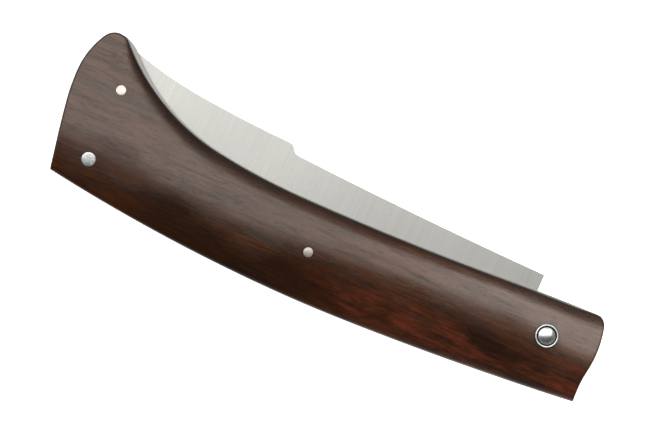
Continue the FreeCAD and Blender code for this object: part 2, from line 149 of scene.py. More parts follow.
# meshes
FINE_COUNT = 400  # points of each side of the outline, where distances to it are measured
STEPS_PER_METRE = 1e7  # CAD vertices that round to the same step are one
FLATNESS = 1e-6  # metres that a flat face's vertices may be off its height
DOUBLES = 1e-8  # metres between vertices that are merged
FACE_GRID = (330, 92)  # points along and across a scale
HOLE_POINTS = 64
HOLE_RING = 0.12 * MM  # from a hole to the ring of points round it
HOLE_CLEARANCE = 0.3 * MM  # from a hole to the nearest points of the grid
PIN_POINTS = 48
PIN_RINGS = (0.25, 0.5, 0.7, 0.85, 0.94, 1.0)  # shares of a pin's radius
LATHE_POINTS = 96

# camera
VIEW_TURN = math.radians(24.2)  # between the handle's length and the picture's horizontal
VIEW_WIDTH = 158.9 * MM  # across the picture, at the level of the wood's face
VIEW_DISTANCE = 1.0
VIEW_CENTRE = (-1.84 * MM, 0.63 * MM)
SENSOR = 36.0  # the camera's film width, in millimetres
PICTURE_RIGHT = Vector((math.cos(VIEW_TURN), math.sin(VIEW_TURN), 0))
PICTURE_UP = Vector((-math.sin(VIEW_TURN), math.cos(VIEW_TURN), 0))

# surroundings
FLOOR_RADIUS = 4.0
FLOOR_POINTS = 64
FLOOR_GLOW = 0.88
REFLECTED_LOW = 0.62  # strength of what the razor reflects from low directions
REFLECTED_HIGH = 0.05  # and from overhead
REFLECTED_TURN = (0.38, 0.80)  # upward parts of the directions between which the one becomes the other


# ---------------------------------------------------------------- places read from the CAD

def middle_of(node):
    """The middle of a CAD node's box."""
    low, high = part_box(node)
    return (low + high) / 2


def node_radius(node):
    """Half the width along X of a CAD node that is round about Z."""
    low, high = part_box(node)
    return (high.x - low.x) / 2


MIDDLE_Z = middle_of("blade").z
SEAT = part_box("front_scale")[0].z - MIDDLE_Z  # inner face of a scale, from the blade's middle plane
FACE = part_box("front_scale")[1].z - MIDDLE_Z
PIN_NODES = ("tail_pin", "hook_pin", "middle_pin")
PIVOT = middle_of("pivot_pin")
PIVOT_RADIUS = node_radius("pivot_bush") * ROD_SHARE
HEAD_RADIUS = node_radius("pivot_pin")
ROSETTE_RADIUS = node_radius("front_rosette")
ROSETTE_DEPTH = FACE + MIDDLE_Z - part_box("front_rosette")[0].z


def merged_points(mesh):
    """The mesh's places without doubles, and the number of each vertex's place."""
    places = {}
    points = []
    number_of = []
    for vertex in mesh.vertices:
        key = tuple(round(value * STEPS_PER_METRE) for value in vertex.co)
        if key not in places:
            places[key] = len(points)
            points.append(vertex.co.copy())
        number_of.append(places[key])
    return points, number_of


def loops_at(node, level):
    """The closed loops of points round a CAD node's flat face at a height, the longest first."""
    mesh = frame["nodes"][node].data
    mesh.calc_loop_triangles()
    points, number_of = merged_points(mesh)
    edges = {}
    for triangle in mesh.loop_triangles:
        corners = [number_of[index] for index in triangle.vertices]
        if all(abs(points[corner].z - level) < FLATNESS for corner in corners):
            for start, end in zip(corners, corners[1:] + corners[:1]):
                edges[start, end] = True
    rim = {start: end for start, end in edges if (end, start) not in edges}
    loops = []
    while rim:
        start = next(iter(rim))
        loop = []
        while start in rim:
            loop.append(start)
            start = rim.pop(start)
        loops.append(np.array([points[index][:2] for index in loop]))
    return sorted(loops, key=lambda loop: -np.ptp(loop[:, 0]))


def farthest(loop, direction, longest_x=None):
    """Index of the point of a loop that lies furthest along a direction, up to a given X."""
    reach = loop @ np.array(direction)
    if longest_x is not None:
        reach = np.where(loop[:, 0] < longest_x, reach, -np.inf)
    return int(np.argmax(reach))


def stretch_between(loop, start, end):
    """The points of a loop from one index to another, whichever way they run."""
    if start <= end:
        return loop[start:end + 1]
    return np.concatenate([loop[start:], loop[:end + 1]])


def along(points, shares):
    """Points at shares of the way along a smooth curve through the given ones."""
    steps = np.linalg.norm(np.diff(points, axis=0), axis=1)
    lengths = np.concatenate([[0], np.cumsum(steps)])
    slopes = np.gradient(points, lengths, axis=0)
    where = np.clip(np.asarray(shares) * lengths[-1], 0, lengths[-1])
    index = np.clip(np.searchsorted(lengths, where, side="right") - 1, 0, len(steps) - 1)
    span = steps[index][:, None]
    u = ((where - lengths[index])[:, None]) / span
    return (
        (2 * u**3 - 3 * u**2 + 1) * points[index]
        + (u**3 - 2 * u**2 + u) * span * slopes[index]
        + (3 * u**2 - 2 * u**3) * points[index + 1]
        + (u**3 - u**2) * span * slopes[index + 1]
    )


def handle_sides():
    """The four sides of a scale's outline: back, front, tail and pivot end. The hook's tip, where the front
    meets the tail, points forwards and outwards in the first tenth of the handle."""
    loop = loops_at("front_scale", SEAT + MIDDLE_Z)[0]
    area = np.sum(loop[:, 0] * np.roll(loop[:, 1], -1) - loop[:, 1] * np.roll(loop[:, 0], -1))
    if area < 0:
        loop = loop[::-1]
    hook_end = loop[:, 0].min() + 0.1 * np.ptp(loop[:, 0])
    tail_corner = farthest(loop, (-1, -1))
    end_foot = farthest(loop, (1, -1))
    front_corner = farthest(loop, (1, 1))
    hook_tip = farthest(loop, (0.7, 1), hook_end)
    back = stretch_between(loop, tail_corner, end_foot)
    end = stretch_between(loop, end_foot, front_corner)
    front = stretch_between(loop, front_corner, hook_tip)[::-1]
    tail = stretch_between(loop, hook_tip, tail_corner)[::-1]
    return back, front, tail, end


BACK, FRONT, TAIL, END = handle_sides()


def distance_to(line, points):
    """Distance of each point to a line of points, and how far along the line its nearest place is."""
    starts = line[:-1]
    spans = np.diff(line, axis=0)
    lengths = np.linalg.norm(spans, axis=1)
    before = np.concatenate([[0], np.cumsum(lengths)])[:-1]
    best = np.full(len(points), np.inf)
    place = np.zeros(len(points))
    for start, span, length, passed in zip(starts, spans, lengths, before):
        share = np.clip((points - start) @ span / length**2, 0, 1)
        gap = np.linalg.norm(points - start - share[:, None] * span, axis=1)
        nearer = gap < best
        best[nearer] = gap[nearer]
        place[nearer] = passed + share[nearer] * length
    return best, place


# ---------------------------------------------------------------- the wood's height map

def smooth_step(value, low, high):
    """0 up to low and 1 from high on, with a smooth rise between them."""
    share = np.clip((value - low) / (high - low), 0, 1)
    return share * share * (3 - 2 * share)


def crown_drop(from_back, toward_pivot, from_end):
    """How far the crown has fallen from its top line, at distances from the back edge."""
    steepest = CROWN_SLOPE_TAIL + (CROWN_SLOPE_PIVOT - CROWN_SLOPE_TAIL) * toward_pivot
    moved = smooth_step(toward_pivot, 0, CROWN_LINE_SHARE)
    line = CROWN_LINE_TAIL + (CROWN_LINE_PIVOT - CROWN_LINE_TAIL) * moved
    line = line - CROWN_LINE_DIP * (1 - smooth_step(from_end, *CROWN_DIP_REACH))
    near = np.minimum(from_back, HOOK_START)
    fall = steepest * CROWN_REACH * np.log(np.cosh((near - line) / CROWN_REACH))
    into_hook = np.maximum(from_back - HOOK_START, 0)
    easing = np.minimum(into_hook, HOOK_END - HOOK_START)
    start_slope = steepest * np.tanh((HOOK_START - line) / CROWN_REACH)
    change = (HOOK_SLOPE - start_slope) / (HOOK_END - HOOK_START)
    fall = fall + start_slope * easing + change * easing**2 / 2
    return fall + HOOK_SLOPE * np.maximum(from_back - HOOK_END, 0)


def round_drop(distance, radius):
    """How far a rounded edge has fallen, at distances in from the edge."""
    inside = np.clip(radius - distance, 0, radius)
    return radius - np.sqrt(radius**2 - inside**2)


def bevel_width(place):
    """The front bevel's width, at distances along the front edge from the hook's tip."""
    opening = BEVEL_WIDE * smooth_step(place, *BEVEL_OPENING)
    narrowing = smooth_step(place, *BEVEL_NARROWING)
    return opening + (BEVEL_WIDTH - BEVEL_WIDE) * narrowing


def wood_height(points):
    """Height of the wood's outer surface above the blade's middle plane, at points in the handle's plan."""
    from_back, _ = distance_to(FINE_BACK, points)
    from_front, place = distance_to(FINE_FRONT, points)
    from_tail, _ = distance_to(FINE_TAIL, points)
    from_end, _ = distance_to(FINE_END, points)
    toward_pivot = smooth_step(points[:, 0], FINE_BACK[0, 0], FINE_BACK[-1, 0])
    height = FACE - crown_drop(from_back, toward_pivot, from_end)
    bevel = height + BEVEL_SLOPE * (from_front - bevel_width(place))
    overlap = np.clip(BEVEL_BLEND - np.abs(height - bevel), 0, None) / BEVEL_BLEND
    height = np.minimum(height, bevel) - overlap**2 * BEVEL_BLEND / 4
    back_radius = BACK_ROUND_TAIL + (BACK_ROUND_PIVOT - BACK_ROUND_TAIL) * toward_pivot
    height = height - round_drop(from_back / BACK_ROUND_STRETCH, back_radius)
    height = height - round_drop(from_front, EDGE_BREAK)
    height = height - round_drop(from_tail, TAIL_ROUND)
    return height - round_drop(from_end, END_ROUND)


def run_out(line, corner_share=0.03, length=12 * MM):
    """A line cut off before the corner at its end, and carried straight on past it."""
    cut = line[:-round(len(line) * corner_share)]
    heading = (cut[-1] - cut[-2]) / np.linalg.norm(cut[-1] - cut[-2])
    return np.concatenate([cut, [cut[-1] + heading * length]])


FINE_SHARES = np.linspace(0, 1, FINE_COUNT)
FINE_BACK = along(BACK, FINE_SHARES)
FINE_FRONT = run_out(along(FRONT, FINE_SHARES))
FINE_TAIL = along(TAIL, FINE_SHARES)
FINE_END = along(END, FINE_SHARES)


# ---------------------------------------------------------------- meshes

def new_piece(name, vertices, faces, body, slot, replaced, sharp):
    """A smooth piece with sharp edges above an angle, which rides a body and replaces CAD nodes."""
    mesh = bpy.data.meshes.new(name)
    mesh.from_pydata([tuple(vertex) for vertex in vertices], [], faces)
    close_up(mesh)
    mesh.polygons.foreach_set("use_smooth", [True] * len(mesh.polygons))
    mesh.set_sharp_from_angle(angle=math.radians(sharp))
    mesh.update()
    piece = bpy.data.objects.new(name, mesh)
    bpy.context.scene.collection.objects.link(piece)
    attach(piece, body)
    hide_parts(*replaced)
    mesh.materials.append(MATERIALS[slot])
    return piece


def clustered(count):
    """Shares from 0 to 1, closer together near both ends."""
    even = np.linspace(0, 1, count)
    return (even + 0.5 - 0.5 * np.cos(math.pi * even)) / 2


def patch_points(columns, rows):
    """A grid of points that fills the scale's four sides."""
    s = clustered(columns)
    t = clustered(rows)
    back, front = along(BACK, s), along(FRONT, s)
    tail, end = along(TAIL, t), along(END, t)
    s = s[:, None, None]
    t = t[None, :, None]
    sides = (1 - t) * back[:, None] + t * front[:, None] + (1 - s) * tail[None] + s * end[None]
    corners = (
        (1 - s) * (1 - t) * back[0]
        + s * (1 - t) * back[-1]
        + (1 - s) * t * front[0]
        + s * t * front[-1]
    )
    return sides - corners


def circle(centre, radius, count):
    """Evenly spaced points of a circle."""
    turn = np.linspace(0, 2 * math.pi, count, endpoint=False)
    return np.stack([centre[0] + radius * np.cos(turn), centre[1] + radius * np.sin(turn)], axis=1)


def fill(loops, inner_points):
    """Points and triangles over the area inside the first loop and outside the others, which are round. The
    loops' own points come first, in order."""
    points = np.concatenate(list(loops) + [inner_points])
    edges = []
    start = 0
    for loop in loops:
        numbers = list(range(start, start + len(loop)))
        edges += list(zip(numbers, numbers[1:] + numbers[:1]))
        start += len(loop)
    scaled = [Vector(point) for point in points / MM]
    leave_out_outside = 1
    nearness = 1e-6
    made, _, triangles, origins, _, _ = delaunay_2d_cdt(scaled, edges, [], leave_out_outside, nearness)
    number_of = [origin[0] for origin in origins]
    made = np.array([vertex[:] for vertex in made]) * MM
    kept = []
    for triangle in triangles:
        middle = made[list(triangle)].mean(axis=0)
        if all(np.linalg.norm(middle - loop.mean(axis=0)) > radius_of(loop) for loop in loops[1:]):
            kept.append([number_of[index] for index in triangle])
    return points, kept


def radius_of(loop, shrink=0.999):
    """A round loop's radius, a hair short of its points."""
    return np.linalg.norm(loop[0] - loop.mean(axis=0)) * shrink


def scale_plan():
    """The loops of a scale's outer face, which are its outline and round holes for the pins and the rosette,
    and the points between them."""
    grid = patch_points(*FACE_GRID)
    outline = np.concatenate([grid[:-1, 0], grid[-1, :-1], grid[:0:-1, -1], grid[0, :0:-1]])
    holes = [(middle_of(node)[:2], node_radius(node)) for node in PIN_NODES]
    holes.append((PIVOT[:2], ROSETTE_RADIUS))
    inner = grid[1:-1, 1:-1].reshape(-1, 2)
    loops = [outline]
    for centre, radius in holes:
        clear = np.linalg.norm(inner - np.array(centre), axis=1) > radius + HOLE_CLEARANCE
        inner = inner[clear]
        loops.append(circle(centre, radius, HOLE_POINTS))
    rings = [circle(centre, radius + HOLE_RING, HOLE_POINTS) for centre, radius in holes]
    return loops, np.concatenate([inner] + rings)


def wall(upper, lower):
    """Faces between two closed rings of vertex numbers of the same length."""
    return [
        [upper[i], upper[(i + 1) % len(upper)], lower[(i + 1) % len(upper)], lower[i]]
        for i in range(len(upper))
    ]


def scale_mesh():
    """Vertices and faces of a scale, by height above the blade's middle plane: the crowned face, the flat
    inner face, the walls between them, and the rosette's seat with the pivot's bore below it."""
    loops, inner = scale_plan()
    points, face_triangles = fill(loops, inner)
    bore = circle(PIVOT[:2], PIVOT_RADIUS, HOLE_POINTS)
    flat_points, flat_triangles = fill(loops[:-1] + [bore], np.zeros((0, 2)))
    vertices = [(x, y, z) for (x, y), z in zip(points, wood_height(points))]
    flat_start = len(vertices)
    vertices += [(x, y, SEAT) for x, y in flat_points]
    faces = face_triangles
    faces += [[flat_start + index for index in triangle[::-1]] for triangle in flat_triangles]
    start = 0
    for loop in loops[:-1]:
        end = start + len(loop)
        faces += wall(range(start, end), range(flat_start + start, flat_start + end))
        start = end
    rings = [range(start, start + HOLE_POINTS)]
    for ring in (loops[-1], bore):
        rings.append(range(len(vertices), len(vertices) + HOLE_POINTS))
        vertices += [(x, y, FACE - ROSETTE_DEPTH) for x, y in ring]
    rings.append(range(flat_start + start, flat_start + start + HOLE_POINTS))
    for upper, lower in zip(rings, rings[1:]):
        faces += wall(upper, lower)
    return vertices, faces


def make_scales():
    """Both wooden scales, the rear one mirrored."""
    vertices, faces = scale_mesh()
    for side, name in ((1, "front_scale"), (-1, "rear_scale")):
        placed = [(x, y, MIDDLE_Z + side * z) for x, y, z in vertices]
        piece = new_piece(f"{name}_wood", placed, faces, "handle", "rosewood", [name], sharp=50)
        mark_edge(piece.data)


def mark_edge(mesh):
    """Note at every vertex how much shade is painted on the wood: from 1 at the front edge, whose bevel
    faces away from the light, to 0 just past the bevel, and a thin painted dark line of shade round the tail
    and the pivot end."""
    places = np.array([vertex.co[:2] for vertex in mesh.vertices])
    from_front, place = distance_to(FINE_FRONT, places)
    from_tail, _ = distance_to(FINE_TAIL, places)
    from_end, _ = distance_to(FINE_END, places)
    darkness = 1 - smooth_step(from_front / bevel_width(place), 0, DARK_REACH)
    line = RIM_DARKNESS * (1 - smooth_step(np.minimum(from_tail, from_end), 0, RIM_WIDTH))
    darkness = np.maximum(darkness, line)
    mesh.attributes.new("painted_edge_shade", "FLOAT", "POINT").data.foreach_set("value", darkness)


def close_up(mesh):
    """Merge doubled vertices and turn every face outwards."""
    shape = bmesh.new()
    shape.from_mesh(mesh)
    bmesh.ops.remove_doubles(shape, verts=shape.verts, dist=DOUBLES)
    bmesh.ops.recalc_face_normals(shape, faces=shape.faces)
    shape.to_mesh(mesh)
    shape.free()


def pin_end(centre, radius, side, first):
    """Vertices of a pin's end, its faces, which number the vertices from a first one on, and its rim."""
    vertices = []
    rings = []
    for share in PIN_RINGS:
        ring = circle(centre, radius * share, PIN_POINTS)
        heights = wood_height(ring) + PIN_DOME * (1 - share**2) - PIN_EDGE * (share == PIN_RINGS[-1])
        rings.append(range(first + len(vertices), first + len(vertices) + PIN_POINTS))
        vertices += [(x, y, MIDDLE_Z + side * z) for (x, y), z in zip(ring, heights)]
    top = first + len(vertices)
    height = wood_height(centre[None])[0] + PIN_DOME
    vertices.append((centre[0], centre[1], MIDDLE_Z + side * height))
    faces = [[top, rings[0][i], rings[0][(i + 1) % PIN_POINTS]] for i in range(PIN_POINTS)]
    for inner, outer in zip(rings, rings[1:]):
        faces += wall(inner, outer)
    return vertices, faces, rings[-1]


def make_pin(node):
    """A pin filed down with the wood: each end follows the crown, with a soft dome and a broken edge."""
    centre = np.array(middle_of(node)[:2])
    radius = node_radius(node)
    vertices, faces, front_rim = pin_end(centre, radius, 1, 0)
    rear_vertices, rear_faces, rear_rim = pin_end(centre, radius, -1, len(vertices))
    faces += rear_faces + wall(front_rim, rear_rim)
    vertices += rear_vertices
    new_piece(f"{node}_filed", vertices, faces, "handle", "pin_steel", [node], sharp=60)


def lathe(profile, centre, side):
    """Vertices and faces of a (radius, height) profile turned about an axis along Z. Radius 0 closes it."""
    vertices = []
    faces = []
    rings = []
    for radius, height in profile:
        z = MIDDLE_Z + side * height
        if radius == 0:
            rings.append([len(vertices)] * LATHE_POINTS)
            vertices.append((centre[0], centre[1], z))
        else:
            rings.append(range(len(vertices), len(vertices) + LATHE_POINTS))
            vertices += [(x, y, z) for x, y in circle(centre, radius, LATHE_POINTS)]
    for first, second in zip(rings, rings[1:]):
        for corners in wall(first, second):
            face = list(dict.fromkeys(corners))
            if len(face) > 2:
                faces.append(face)
    return vertices, faces


def arc_profile(centre, radius, start, end, count):
    """Points of an arc in a (radius, height) profile, between two angles in degrees."""
    points = []
    for angle in np.linspace(start, end, count):
        turn = math.radians(angle)
        points.append((centre[0] + radius * math.cos(turn), centre[1] + radius * math.sin(turn)))
    return points


def make_pivot():
    """The riveted pivot: a rod with a polished dome at each end, whose shoulder is rounded."""
    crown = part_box("pivot_pin")[1].z - MIDDLE_Z
    floor = FACE - ROSETTE_DEPTH + PLATE
    dome_radius = (HEAD_RADIUS**2 + HEAD_RISE**2) / (2 * HEAD_RISE)
    dome_end = 90 - HEAD_DOME_SHARE * math.degrees(math.asin(HEAD_RADIUS / dome_radius))
    half = arc_profile((0, crown - dome_radius), dome_radius, 90, dome_end, 20)
    half[0] = (0, crown)
    lip_middle = (HEAD_RADIUS - HEAD_LIP, crown - HEAD_RISE - HEAD_LIP_DROP)
    half += arc_profile(lip_middle, HEAD_LIP, 55, 0, 6)
    inset, lift = HEAD_FOOT
    half += [(HEAD_RADIUS, floor + lift), (HEAD_RADIUS - inset, floor), (PIVOT_RADIUS, floor)]
    profile = half + [(radius, -height) for radius, height in half[::-1]]
    vertices, faces = lathe(profile, PIVOT[:2], 1)
    new_piece("pivot_rivet", vertices, faces, "handle", "polished_steel", ["pivot_pin"], sharp=60)


def make_rosette(side, name):
    """A turned collar with a round raised rim, a dish round the rivet's head and a plain foot."""
    foot = FACE - ROSETTE_DEPTH
    floor = foot + PLATE
    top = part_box("front_rosette")[1].z - MIDDLE_Z
    rim_middle = (ROSETTE_RADIUS - ROSETTE_RIM, top - ROSETTE_RIM)
    profile = [(PIVOT_RADIUS, floor), (HEAD_RADIUS, floor)]
    profile += arc_profile((HEAD_RADIUS, floor + DISH_FILLET), DISH_FILLET, -90, -20, 6)
    profile += arc_profile(rim_middle, ROSETTE_RIM, 160, 0, 14)
    profile += [(ROSETTE_RADIUS, foot), (PIVOT_RADIUS, foot), (PIVOT_RADIUS, floor)]
    vertices, faces = lathe(profile, PIVOT[:2], side)
    new_piece(f"{name}_turned", vertices, faces, "handle", "polished_steel", [name], sharp=50)


# ---------------------------------------------------------------- materials

class Nodes:
    """A material's node tree, with short ways to add and join nodes."""

    def __init__(self, name):
        self.material = bpy.data.materials.new(name)
        self.material.use_nodes = True
        self.tree = self.material.node_tree
        self.tree.nodes.clear()
        self.output = self.add("ShaderNodeOutputMaterial")
        self.shader = self.add("ShaderNodeBsdfPrincipled")
        self.tree.links.new(self.shader.outputs[0], self.output.inputs[0])

    def add(self, kind, **settings):
        """A new node with its settings."""
        node = self.tree.nodes.new(kind)
        for setting, value in settings.items():
            setattr(node, setting, value)
        return node

    def join(self, value, socket):
        """Feed a socket from another one, or set it to a plain value."""
        if isinstance(value, bpy.types.NodeSocket):
            self.tree.links.new(value, socket)
        else:
            socket.default_value = value

    def stretched(self, scale, offset=(0, 0, 0)):
        """Object coordinates times three scales, in lumps per metre."""
        place = self.add("ShaderNodeTexCoord")
        mapping = self.add("ShaderNodeMapping")
        mapping.inputs["Location"].default_value = offset
        mapping.inputs["Scale"].default_value = scale
        self.join(place.outputs["Object"], mapping.inputs["Vector"])
        return mapping.outputs[0]

    def noise(self, vector, detail=2.0, roughness=0.5, distortion=0.0):
        """Soft noise over scaled places, whose values mostly lie between 0.3 and 0.7."""
        node = self.add("ShaderNodeTexNoise")
        self.join(vector, node.inputs["Vector"])
        node.inputs["Scale"].default_value = 1.0
        node.inputs["Detail"].default_value = detail
        node.inputs["Roughness"].default_value = roughness
        node.inputs["Distortion"].default_value = distortion
        return node.outputs["Fac"]

    def ramp(self, value, stops):
        """A colour ramp with (place, colour) stops."""
        node = self.add("ShaderNodeValToRGB")
        elements = node.color_ramp.elements
        while len(elements) < len(stops):
            elements.new(0.5)
        for element, (place, colour) in zip(elements, stops):
            element.position = place
            element.color = (*colour, 1)
        self.join(value, node.inputs[0])
        return node.outputs[0]

    def math(self, operation, first, second):
        """Two values put together by one operation."""
        node = self.add("ShaderNodeMath", operation=operation)
        self.join(first, node.inputs[0])
        self.join(second, node.inputs[1])
        return node.outputs[0]

    def product(self, first, *others):
        """All the values multiplied together."""
        for other in others:
            first = self.math("MULTIPLY", first, other)
        return first

    def spread(self, value, low, high, new_low=0.0, new_high=1.0):
        """A value's run from low to high made a run from new_low to new_high, and held there outside it."""
        node = self.add("ShaderNodeMapRange", clamp=True)
        for socket, given in zip(node.inputs, (value, low, high, new_low, new_high)):
            self.join(given, socket)
        return node.outputs[0]

    def vary(self, noise, low=0.0, high=1.0):
        """A noise's usual values made to run from low to high."""
        return self.spread(noise, 0.3, 0.7, low, high)

    def coat(self, colour, coating, share, strength):
        """A colour under a coating, which hides it by a share times a strength."""
        return self.mix(self.product(share, strength), colour, coating)

    def shaded(self, colour, shade):
        """A colour multiplied by a shade."""
        grey = self.add("ShaderNodeCombineColor")
        for socket in grey.inputs:
            self.join(shade, socket)
        return self.mix(1.0, colour, grey.outputs[0], blend="MULTIPLY")

    def mix(self, share, first, second, blend="MIX"):
        """One colour turned into another by a share, both of them sockets or triples."""
        node = self.add("ShaderNodeMix", data_type="RGBA", blend_type=blend)
        self.join(share, node.inputs[0])
        for socket, value in ((node.inputs[6], first), (node.inputs[7], second)):
            self.join((*value, 1) if isinstance(value, tuple) and len(value) == 3 else value, socket)
        return node.outputs[2]

    def bump(self, height, strength, distance, edge_radius=0.0):
        """Relief from a height, over edges softened to a radius."""
        node = self.add("ShaderNodeBump")
        node.inputs["Strength"].default_value = strength
        node.inputs["Distance"].default_value = distance
        self.join(height, node.inputs["Height"])
        if edge_radius:
            edges = self.add("ShaderNodeBevel", samples=4)
            edges.inputs["Radius"].default_value = edge_radius
            self.join(edges.outputs[0], node.inputs["Normal"])
        self.join(node.outputs[0], self.shader.inputs["Normal"])

    def set(self, **values):
        """Feed or set the shader's inputs, by their names with underscores for spaces."""
        for name, value in values.items():
            self.join(value, self.shader.inputs[name.replace("_", " ")])


def gap_from(nodes, centre):
    """Distance from an axis along Z through a centre."""
    place = nodes.add("ShaderNodeTexCoord").outputs["Object"]
    flat = nodes.add("ShaderNodeVectorMath", operation="MULTIPLY")
    nodes.join(place, flat.inputs[0])
    flat.inputs[1].default_value = (1, 1, 0)
    gap = nodes.add("ShaderNodeVectorMath", operation="DISTANCE")
    nodes.join(flat.outputs[0], gap.inputs[0])
    gap.inputs[1].default_value = (centre.x, centre.y, 0)
    return gap.outputs["Value"]


def position(nodes, axis):
    """One of the object's own coordinates."""
    apart = nodes.add("ShaderNodeSeparateXYZ")
    nodes.join(nodes.add("ShaderNodeTexCoord").outputs["Object"], apart.inputs[0])
    return apart.outputs[axis]


def shade_near_metal(nodes):
    """1 close round the pins and the rosette, where shade is painted on the wood, and 0 elsewhere."""
    gap = gap_from(nodes, PIVOT)
    metal_shade = nodes.spread(gap, ROSETTE_RADIUS, ROSETTE_RADIUS + ROSETTE_SHADE, 0.9, 0.0)
    fade, end = PIN_SHADE
    for node in PIN_NODES:
        edge = node_radius(node)
        gap = gap_from(nodes, middle_of(node))
        metal_shade = nodes.math("MAXIMUM", metal_shade, nodes.spread(gap, edge + fade, edge + end, 1.0, 0.0))
    return metal_shade


def wood_figure(nodes):
    """The brown bands of the wood above the heartwood, drawn out along X."""
    place = nodes.stretched((26, 150, 110), (3.1, 0.7, 0))
    return nodes.ramp(nodes.noise(place, detail=5, roughness=0.6, distortion=0.8), FIGURE_COLOURS)


def heart_share(nodes):
    """1 in the heartwood, low on the handle, and 0 above its wandering edge."""
    wander = nodes.noise(nodes.stretched((28, 60, 60), (5, 5, 5)), detail=4, roughness=0.6)
    wandering = nodes.product(nodes.math("SUBTRACT", wander, 0.5), HEART_WANDER)
    across = nodes.math("ADD", position(nodes, "Y"), wandering)
    return nodes.spread(across, HEART_TOP + HEART_FADE, HEART_TOP - HEART_FADE)


def heartwood(nodes):
    """The heartwood's colour: nearly black on the tail's half of the handle, with a warmer tail, and a
    mottled red with dark patches on the pivot's half."""
    mottle_place = nodes.stretched((170, 430, 430), (2, 8, 4))
    mottle = nodes.noise(mottle_place, detail=4, roughness=0.7, distortion=0.8)
    patch_place = nodes.stretched((48, 125, 125), (9, 1.5, 6))
    patches = nodes.noise(patch_place, detail=5, roughness=0.6, distortion=0.6)
    red = nodes.mix(nodes.spread(mottle, 0.38, 0.62), HEART_BROWN, HEART_RED)
    red = nodes.mix(nodes.spread(patches, 0.41, 0.54), HEART_PATCH, red)
    along_handle = position(nodes, "X")
    black = nodes.mix(nodes.spread(along_handle, *HEART_TAIL_REACH), HEART_TAIL, HEART_BLACK)
    return nodes.mix(nodes.spread(along_handle, *HEART_TURN_REACH), black, red)


def wood_roughness(nodes, fibres, open_grain):
    """Polished wood, a little rougher along its fibres and in its open grain."""
    polish = nodes.noise(nodes.stretched((90, 180, 180), (6, 6, 1)), detail=3)
    rough = nodes.math("ADD", nodes.vary(fibres, 0.17, 0.26), nodes.vary(polish, -0.03, 0.04))
    return nodes.math("ADD", rough, nodes.product(open_grain, 0.10))


def wood_gloss(nodes, fibres, heart, edge):
    """The polish's shine, strongest at the pivot end, and dull on the heartwood and where shade is painted
    on the edges.
    """
    gloss = nodes.spread(position(nodes, "X"), *GLOSS_REACH, 0.46, 0.66)
    fibre_gloss = nodes.vary(fibres, 0.88, 1.12)
    heart_gloss = nodes.spread(heart, 0.0, 1.0, 1.0, 0.36)
    edge_gloss = nodes.spread(edge, 0.0, 1.0, 1.0, 0.5)
    return nodes.product(gloss, fibre_gloss, heart_gloss, edge_gloss)


def make_rosewood():
    """Dark rosewood: broad figure over heartwood, then black streaks, fine fibres and short pores, all
    running along X, and painted shade round the metal and along the front edge and the ends."""
    nodes = Nodes("rosewood")
    streak_place = nodes.stretched((60, 900, 600), (1.3, 2.2, 0))
    streaks = nodes.noise(streak_place, detail=5, roughness=0.65, distortion=0.4)
    fibres = nodes.noise(nodes.stretched((160, 4200, 2500)), detail=3, roughness=0.6)
    pores = nodes.noise(nodes.stretched((450, 6500, 4000), (7, 1, 3)), detail=1, roughness=0.5)
    heart = heart_share(nodes)
    streak = nodes.spread(streaks, 0.36, 0.56, 1.0, 0.0)
    pore = nodes.spread(pores, 0.30, 0.38, 1.0, 0.0)
    # how much shade is painted here: on the front bevel, which faces away from the light, and in a thin line
    # round the ends
    edge = nodes.add("ShaderNodeAttribute", attribute_name="painted_edge_shade").outputs["Fac"]
    edge_shade_strength = nodes.spread(position(nodes, "X"), *EDGE_SHADE_REACH, 0.92, 0.72)
    colour = nodes.coat(wood_figure(nodes), heartwood(nodes), heart, strength=0.85)
    colour = nodes.coat(colour, STREAK_COLOUR, streak, strength=0.6)
    colour = nodes.shaded(colour, nodes.vary(fibres, 0.8, 1.2))
    colour = nodes.coat(colour, PORE_COLOUR, pore, strength=0.8)
    # painted shade round the pins and the rosette
    colour = nodes.coat(colour, METAL_SHADE_COLOUR, shade_near_metal(nodes), strength=0.85)
    # painted shade along the front edge and round the ends
    colour = nodes.coat(colour, EDGE_SHADE_COLOUR, edge, strength=edge_shade_strength)
    nodes.set(
        Base_Color=colour,
        Roughness=wood_roughness(nodes, fibres, nodes.math("MAXIMUM", pore, streak)),
        Specular_Tint=(1.0, 0.93, 0.86, 1.0),
        Specular_IOR_Level=wood_gloss(nodes, fibres, heart, edge),
    )
    relief = nodes.math("SUBTRACT", nodes.product(fibres, 0.35), pore)
    nodes.bump(relief, strength=0.25, distance=0.03 * MM)
    return nodes.material


def painted_blade_shade(nodes, colour):
    """The blade's colour with painted shade: its tapered part is a little darker than the flat part behind
    it, and the flat part gets darker towards the pivot, as painted shade standing in for its dimming
    reflection."""
    place = position(nodes, "X")
    # painted shade: the tapered part a little darker
    taper_shade = nodes.spread(place, TAPER_START - TAPER_BLEND, TAPER_START + TAPER_BLEND, 0.905, 1.0)
    # painted shade: the flat part darker towards the pivot
    shade_toward_pivot = nodes.spread(place, TAPER_START, TAPER_START + BLADE_SHADE_LENGTH, 1.0, 0.945)
    return nodes.shaded(colour, nodes.product(taper_shade, shade_toward_pivot))


def plain_tint(nodes, colour):
    """A colour that is the same all along."""
    return colour


